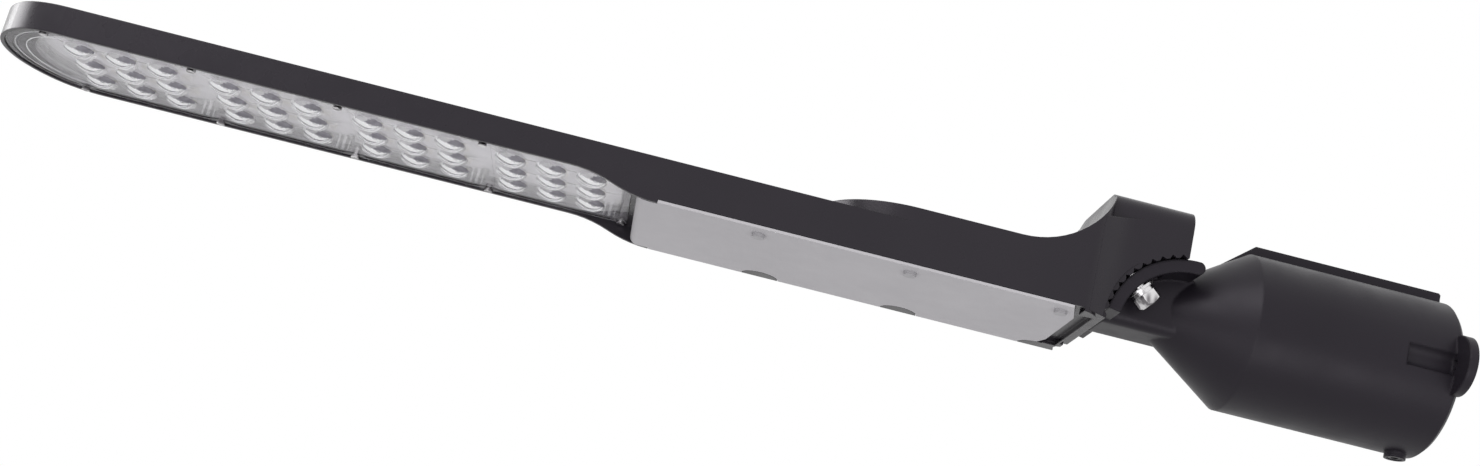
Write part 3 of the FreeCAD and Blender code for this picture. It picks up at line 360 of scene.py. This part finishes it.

# Fine raised lines, painted as highlights and shade: steps between two given points, sides, size at the ends as
# a share of the middle, and how soon they thicken
CURVE_STEPS = 5
BEAD_SIDES = 6
BEAD_END = 0.25
BEAD_SWELL = 0.6

# Upright ribs of the plate at each screw, painted as highlights and shade: place from the screw, width, height,
# finish
POSTS = [
    (-11.4, 1.0, 6.4, "lens painted highlight"),
    (-9.9, 1.0, 3.0, "lens painted shade"),
    (-8.4, 1.5, 6.6, "lens painted highlight"),
    (-6.3, 0.8, 3.4, "lens painted shade"),
    (-4.9, 0.6, 4.4, "lens painted highlight"),
]
POST_ROW = 40.6
POST_DEPTH = 1.2
POST_SUNK = 0.2

# Arcs painted as highlights and shade that follow the plate's edge at the tip: finish, radius, distance from
# the edge, last x
TIP_ARCS = [
    ("lens painted highlight", 0.22, 5.0, -770),
    ("lens painted shade", 0.2, 6.2, -775),
    ("lens painted highlight", 0.3, 11.0, -772),
]

# Outlines of the patches painted as a highlight and as shade, and lines painted as highlights and shade, on one
# lens, from its middle
PAINTED_HIGHLIGHT = [(-7.9, -5.4), (-6.4, -7.0), (-5.0, -7.9), (-3.0, -8.4), (-0.7, -8.0), (1.8, -6.8), (4.3, -5.6),
         (6.4, -4.8), (4.0, -3.6), (1.6, -3.3), (-0.5, -3.9), (-2.8, -4.8), (-5.4, -5.4)]
PAINTED_SHADE_FACET = [(-0.7, -8.5), (1.5, -10.2), (4.5, -9.4), (7.0, -6.6), (8.2, -3.4), (7.0, -3.6), (6.7, -4.9),
         (4.4, -5.9), (1.8, -7.1)]
LINES = [
    ("lens painted highlight", 0.34, [(-8.3, 0.3), (-6.6, 1.4), (-4.0, 1.7), (-1.2, 1.8), (2.5, 1.5), (5.3, -0.4),
                          (7.6, -3.0)]),
    ("lens painted highlight", 0.24, [(-8.0, -2.2), (-5.6, -1.5), (-2.9, -0.5), (-0.7, -0.2), (1.8, -0.8), (4.4, -2.0)]),
    ("lens painted highlight", 0.24, [(-8.1, -3.6), (-8.2, -5.2), (-7.4, -6.6), (-6.2, -7.9)]),
    ("lens painted shade", 0.30, [(-7.9, -4.5), (-5.6, -4.8), (-3.1, -4.2), (-0.7, -3.3), (1.6, -2.7), (3.6, -2.9)]),
    ("lens painted shade", 0.24, [(-7.6, -1.0), (-5.0, 0.2), (-2.0, 0.7), (1.4, 0.4)]),
]


def outline_of(node):
    """The outline of a flat node seen from above, in even steps."""
    spots = [Vector((v.co.x * MM_PER_M, v.co.y * MM_PER_M)) for v in frame["nodes"][node].data.vertices]
    hull = [spots[i] for i in geometry.convex_hull_2d(spots)]
    even = []
    for start, end in zip(hull, hull[1:] + hull[:1]):
        count = max(1, round((end - start).length / OUTLINE_STEP))
        even += [start.lerp(end, i / count) for i in range(count)]
    turned = sum(a.x * b.y - b.x * a.y for a, b in zip(even, even[1:] + even[:1]))
    return even if turned > 0 else even[::-1]


def inward(outline, reach):
    """The same outline moved inwards by reach(point), square to the line between points two steps away."""
    moved = []
    for i, spot in enumerate(outline):
        along = (outline[(i + 2) % len(outline)] - outline[i - 2]).normalized()
        moved.append(spot + Vector((-along.y, along.x)) * reach(spot))
    return moved


def inside(spot, corners):
    crossings = 0
    for (ax, ay), (bx, by) in zip(corners, corners[1:] + corners[:1]):
        if (ay > spot[1]) != (by > spot[1]) and spot[0] < ax + (spot[1] - ay) * (bx - ax) / (by - ay):
            crossings += 1
    return crossings % 2 == 1


def lens_height(u, v):
    """How far a lens stands out below its level at a place given from its middle."""
    t = min(1.0, math.hypot(u / LENS_HALF_LENGTH, v / LENS_HALF_WIDTH))
    return LENS_HEIGHT * (1 - t * t) ** DOME_FULLNESS


def smooth_line(corners):
    """A curve through the given points."""
    points = [Vector(corner) for corner in corners]
    points = [2 * points[0] - points[1]] + points + [2 * points[-1] - points[-2]]
    line = []
    for a, b, c, d in zip(points, points[1:], points[2:], points[3:]):
        for i in range(CURVE_STEPS):
            t = i / CURVE_STEPS
            line.append(0.5 * (2 * b + (c - a) * t + (2 * a - 5 * b + 4 * c - d) * t * t
                               + (3 * b - 3 * c + d - a) * t ** 3))
    return line + [points[-2]]


def add_lens(mesh, x, y):
    """One lens with its raised patch painted as a highlight and its sunken facet painted as shade. Returns its
    outline.
    """
    loops = []
    for ring in range(RINGS):
        t = 1 - ring / RINGS
        places = []
        for i in range(SEGMENTS):
            turn = math.tau * i / SEGMENTS
            u = LENS_HALF_LENGTH * t * math.cos(turn)
            v = LENS_HALF_WIDTH * t * math.sin(turn)
            raised = PAINTED_HIGHLIGHT_RAISED * inside((u, v), PAINTED_HIGHLIGHT) - PAINTED_SHADE_FACET_SUNK * inside((u, v), PAINTED_SHADE_FACET)
            places.append((x + u, y + v, LENS_LEVEL - lens_height(u, v) - raised))
        loops.append(add_ring(mesh, places))
    for outer, inner in zip(loops, loops[1:]):
        for face in bridge(mesh, outer, inner):
            middle = face.calc_center_median() * MM_PER_M
            spot = (middle.x - x, middle.y - y)
            # Faces in the raised patch get the painted highlight, faces in the sunken facet the painted shade
            if inside(spot, PAINTED_HIGHLIGHT):
                face.material_index = FINISHES.index("lens painted highlight")
            elif inside(spot, PAINTED_SHADE_FACET):
                face.material_index = FINISHES.index("lens painted shade")
    crown = mesh.verts.new(Vector((x, y, LENS_LEVEL - LENS_HEIGHT)) / MM_PER_M)
    for i in range(SEGMENTS):
        mesh.faces.new((loops[-1][i], loops[-1][(i + 1) % SEGMENTS], crown))
    return loops[0]


def add_bead(mesh, spots, level_at, radius, finish):
    """A fine raised line on the plate, painted as a highlight or as shade, thinner at its ends."""
    rings = []
    for i, spot in enumerate(spots):
        ahead = spots[min(i + 1, len(spots) - 1)] - spots[max(i - 1, 0)]
        across = Vector((-ahead.y, ahead.x, 0)).normalized()
        share = i / (len(spots) - 1)
        size = radius * (BEAD_END + (1 - BEAD_END) * math.sin(math.pi * share) ** BEAD_SWELL)
        middle = Vector((spot.x, spot.y, level_at(spot)))
        places = []
        for k in range(BEAD_SIDES):
            turn = math.tau * k / BEAD_SIDES
            places.append(middle + across * size * math.cos(turn) - Vector((0, 0, size * math.sin(turn))))
        rings.append(add_ring(mesh, places))
    faces = [face for low, high in zip(rings, rings[1:]) for face in bridge(mesh, low, high)]
    faces += [mesh.faces.new(rings[0]), mesh.faces.new(rings[-1])]
    for face in faces:
        face.material_index = FINISHES.index(finish)


def add_post(mesh, corner, size, finish):
    """A small upright rib, painted as a highlight or as shade, with its lowest corner at the given place."""
    base = [(corner[0] + dx * size[0], corner[1] + dy * size[1]) for dx, dy in ((0, 0), (1, 0), (1, 1), (0, 1))]
    low = add_ring(mesh, [(*spot, corner[2]) for spot in base])
    high = add_ring(mesh, [(*spot, corner[2] + size[2]) for spot in base])
    for face in bridge(mesh, low, high) + [mesh.faces.new(low), mesh.faces.new(high)]:
        face.material_index = FINISHES.index(finish)


def rim_width(spot):
    """How wide the plate's rim is at a point of its outline."""
    near_screw = max(math.exp(-((spot.x - place) / SWELL_REACH) ** 2) for place in SCREW_PLACES)
    return RIM_WIDTH + RIM_SWELL * near_screw * min(1, abs(spot.y) / PLATE_HALF_WIDTH)


def add_plate(mesh, outline, plate_high):
    """The plate with its rim and all lenses."""
    step = inward(outline, rim_width)
    slope = inward(outline, lambda p: rim_width(p) + RIM_SLANT)
    rim_low = add_ring(mesh, [(p.x, p.y, PLATE_LOW) for p in outline])
    rim_high = add_ring(mesh, [(p.x, p.y, plate_high) for p in outline])
    step_low = add_ring(mesh, [(p.x, p.y, PLATE_LOW) for p in step])
    step_high = add_ring(mesh, [(p.x, p.y, LENS_LEVEL) for p in slope])
    bridge(mesh, rim_low, rim_high)
    bridge(mesh, step_low, rim_low)
    bridge(mesh, step_high, step_low)
    lenses = [add_lens(mesh, x, y) for x in LENS_COLUMNS for y in LENS_ROWS]
    fill(mesh, [step_high] + lenses)
    fill(mesh, [rim_high])


def add_lens_lines(mesh):
    """The fine lines painted as highlights and shade that follow each lens."""
    for x in LENS_COLUMNS:
        for y in LENS_ROWS:
            middle = Vector((x, y))
            for finish, radius, corners in LINES:
                add_bead(mesh, [middle + spot for spot in smooth_line(corners)],
                         lambda spot: LENS_LEVEL - lens_height(*(spot - middle)), radius, finish)


def add_tip_arcs(mesh, outline):
    """Lines painted as highlights and shade along the plate's edge round the tip. Each starts behind the widest
    gap between its points.
    """
    for finish, radius, reach, end in TIP_ARCS:
        arc = [spot for spot in inward(outline, lambda p: reach) if spot.x < end]
        first = max(range(len(arc)), key=lambda i: (arc[i] - arc[i - 1]).length)
        add_bead(mesh, arc[first:] + arc[:first], lambda spot: LENS_LEVEL, radius, finish)


def add_posts(mesh, plate_high):
    for x in SCREW_PLACES[1:]:
        for side in (-1, 1):
            for offset, width, height, finish in POSTS:
                corner = (x + offset, side * POST_ROW - POST_DEPTH / 2, plate_high - POST_SUNK)
                add_post(mesh, corner, (width, POST_DEPTH, height), finish)


def make_lens_plate(materials):
    """The clear moulding, in place of the plain plate of the solids."""
    plate_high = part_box("lens_plate")[1].z * MM_PER_M
    outline = outline_of("lens_plate")
    mesh = bmesh.new()
    add_plate(mesh, outline, plate_high)
    add_lens_lines(mesh)
    add_tip_arcs(mesh, outline)
    add_posts(mesh, plate_high)
    piece = finish_piece("lens_moulding", mesh, [materials[name] for name in FINISHES], sharp_from=30)
    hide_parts("lens_plate")
    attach(piece, "head")


# Fairings between the side walls and the rear block

TILT_X, TILT_Z = -152.0, -21.7
SEAT_RADIUS = 48.5
# The quarter round in which a side wall turns in, and where on it the fairing starts, in degrees
TURN_X, TURN_Y, TURN_RADIUS = -216.0, 38.0, 12.0
START_TURN = 28
FAIRING_END = -184.0
FAIRING_LOW = -21.6
WALL_TOP, BLOCK_TOP = 33.0, 40.0
# How straight the fairing leaves both sides, and how deep it goes into the block
STRAIGHTNESS = 0.45
END_SUNK = 0.05
BACK_SUNK = 1
LEVELS = 18
STEPS = 14


def fairing_places(side):
    """Rows of places on a fairing, from its lower end up. Each stops at the joint's seat."""
    lead = math.radians(START_TURN)
    start = Vector((TURN_X + TURN_RADIUS * math.sin(lead), TURN_Y + TURN_RADIUS * math.cos(lead)))
    slope = Vector((math.cos(lead), -math.sin(lead)))
    end = Vector((FAIRING_END, TURN_Y - END_SUNK))
    reach = (end.x - start.x) * STRAIGHTNESS
    after_start, before_end = start + slope * reach, end - Vector((reach, 0))
    rows = []
    for level in range(LEVELS):
        share = level / (LEVELS - 1)
        near_z = FAIRING_LOW + share * (WALL_TOP - FAIRING_LOW)
        far_z = FAIRING_LOW + share * (BLOCK_TOP - FAIRING_LOW)
        rise = min(SEAT_RADIUS, abs(far_z - TILT_Z))
        seat_x = TILT_X - math.sqrt(SEAT_RADIUS ** 2 - rise ** 2)
        part = min(1.0, (seat_x - start.x) / (end.x - start.x))
        row = []
        for step in range(STEPS):
            t = part * step / (STEPS - 1)
            spot = ((1 - t) ** 3 * start + 3 * (1 - t) ** 2 * t * after_start
                    + 3 * (1 - t) * t * t * before_end + t ** 3 * end)
            row.append((spot.x, side * spot.y, near_z + (far_z - near_z) * t))
        rows.append(row)
    return rows


def make_fairing(name, materials, side):
    """Fills the corner where a side wall turns into the rear block."""
    mesh = bmesh.new()
    rows = fairing_places(side)
    front = [add_ring(mesh, row) for row in rows]
    back = [add_ring(mesh, [(x, side * (TURN_Y - BACK_SUNK), z) for x, y, z in row]) for row in rows]
    for grid in (front, back):
        for low, high in zip(grid, grid[1:]):
            bridge(mesh, low, high, closed=False)
    for end in (0, -1):
        bridge(mesh, front[end], back[end], closed=False)
        bridge(mesh, [row[end] for row in front], [row[end] for row in back], closed=False)
    piece = finish_piece(name, mesh, [materials["housing"]], sharp_from=50)
    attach(piece, "head")


# Light, backdrop and camera. All measures are in metres.

WORLD_LIGHT = 0.55
WORLD_SEEN = 1.0
LIT_PLACE = (-0.40, 0.0, -0.01)
TIP_PLACE = (-0.8, 0, 0)
# Name, place, what it is aimed at, size, power in watts
SOFT_BOXES = [
    ("key", (-1.6, -1.2, 1.3), LIT_PLACE, (1.4, 1.4), 16),
    ("fill_below", (-0.4, -0.9, -0.55), LIT_PLACE, (1.6, 0.5), 5),
    ("tip_light", (-1.85, 0.30, 0.27), TIP_PLACE, (0.9, 0.8), 12),
]
FLOOR_SIZE = 60
FLOOR_PLACE = (-0.4, 0, -1.3)
FLOOR_SEEN_WHITE = 0.55
FLOOR_WHITE = 0.78


def highest(tree, sources):
    """The highest of several node outputs."""
    result = sources[0]
    for source in sources[1:]:
        node = tree.nodes.new("ShaderNodeMath")
        node.operation = "MAXIMUM"
        tree.links.new(result, node.inputs[0])
        tree.links.new(source, node.inputs[1])
        result = node.outputs[0]
    return result


def make_world():
    """An even light that is white where the camera, gloss or glass sees it."""
    world = bpy.data.worlds.new("studio")
    bpy.context.scene.world = world
    world.use_nodes = True
    tree = world.node_tree
    background = tree.nodes["Background"]
    background.inputs["Color"].default_value = (1, 1, 1, 1)
    path = tree.nodes.new("ShaderNodeLightPath").outputs
    seen = highest(tree, [path["Is Camera Ray"], path["Is Glossy Ray"], path["Is Transmission Ray"]])
    level = tree.nodes.new("ShaderNodeMapRange")
    level.inputs["To Min"].default_value = WORLD_LIGHT
    level.inputs["To Max"].default_value = WORLD_SEEN
    tree.links.new(seen, level.inputs["Value"])
    tree.links.new(level.outputs["Result"], background.inputs["Strength"])


def soft_box(name, place, target, size, power):
    light = bpy.data.lights.new(name, "AREA")
    light.shape = "RECTANGLE"
    light.size, light.size_y = size
    light.energy = power
    lamp = bpy.data.objects.new(name, light)
    lamp.location = place
    lamp.rotation_euler = (Vector(target) - lamp.location).to_track_quat("-Z", "Y").to_euler()
    bpy.context.scene.collection.objects.link(lamp)
    return lamp


def make_lights():
    lamps = {row[0]: soft_box(*row) for row in SOFT_BOXES}
    # Only gloss shows this one: it is the bright reflection on the tip's wall
    lamps["tip_light"].visible_diffuse = False


def make_floor():
    """A pale floor that keeps the shadow and looks nearly white in reflections."""
    bpy.ops.mesh.primitive_plane_add(size=FLOOR_SIZE, location=FLOOR_PLACE)
    floor = bpy.context.object
    floor.name = "floor"
    paint = Paint("pale_floor", (0.82, 0.82, 0.82), 0.9)
    paint.bump(paint.noise(40.0), 0.05, 0.001)
    path = paint.add("ShaderNodeLightPath").outputs
    mirrored = highest(paint.tree, [path["Is Glossy Ray"], path["Is Transmission Ray"]])
    share = paint.add("ShaderNodeMath", operation="MULTIPLY_ADD")
    share.inputs[1].default_value = FLOOR_SEEN_WHITE
    paint.link(path["Is Camera Ray"], share.inputs[0])
    paint.link(mirrored, share.inputs[2])
    white = paint.add("ShaderNodeEmission")
    white.inputs["Strength"].default_value = FLOOR_WHITE
    mix = paint.add("ShaderNodeMixShader")
    paint.link(share.outputs[0], mix.inputs["Fac"])
    paint.link(paint.shader.outputs["BSDF"], mix.inputs[1])
    paint.link(white.outputs["Emission"], mix.inputs[2])
    paint.link(mix.outputs["Shader"], paint.tree.nodes["Material Output"].inputs["Surface"])
    floor.data.materials.append(paint.material)


def make_camera():
    camera = bpy.data.cameras.new("camera")
    camera.sensor_width = SENSOR
    camera.lens = FOCAL_PIXELS * camera.sensor_width / PHOTO_WIDTH
    camera.shift_x = (PHOTO_WIDTH / 2 - PRINCIPAL_X) / PHOTO_WIDTH
    camera.shift_y = (PRINCIPAL_Y - PHOTO_HEIGHT / 2) / PHOTO_WIDTH
    camera.clip_start, camera.clip_end = CLIP
    holder = bpy.data.objects.new("camera", camera)
    right, up, back = Vector(CAMERA_RIGHT), -Vector(CAMERA_DOWN), -Vector(CAMERA_FORWARD)
    turn = Matrix((right, up, back)).transposed().to_4x4()
    holder.matrix_world = Matrix.Translation(CAMERA_PLACE) @ turn
    bpy.context.scene.collection.objects.link(holder)
    bpy.context.scene.camera = holder


def main():
    bpy.context.scene.view_settings.view_transform = "Standard"
    materials = make_materials()
    dress_frame(materials)
    make_lens_plate(materials)
    make_fairing("block_fairing_near", materials, side=-1)
    make_fairing("block_fairing_far", materials, side=1)
    make_world()
    make_lights()
    make_floor()
    make_camera()


main()
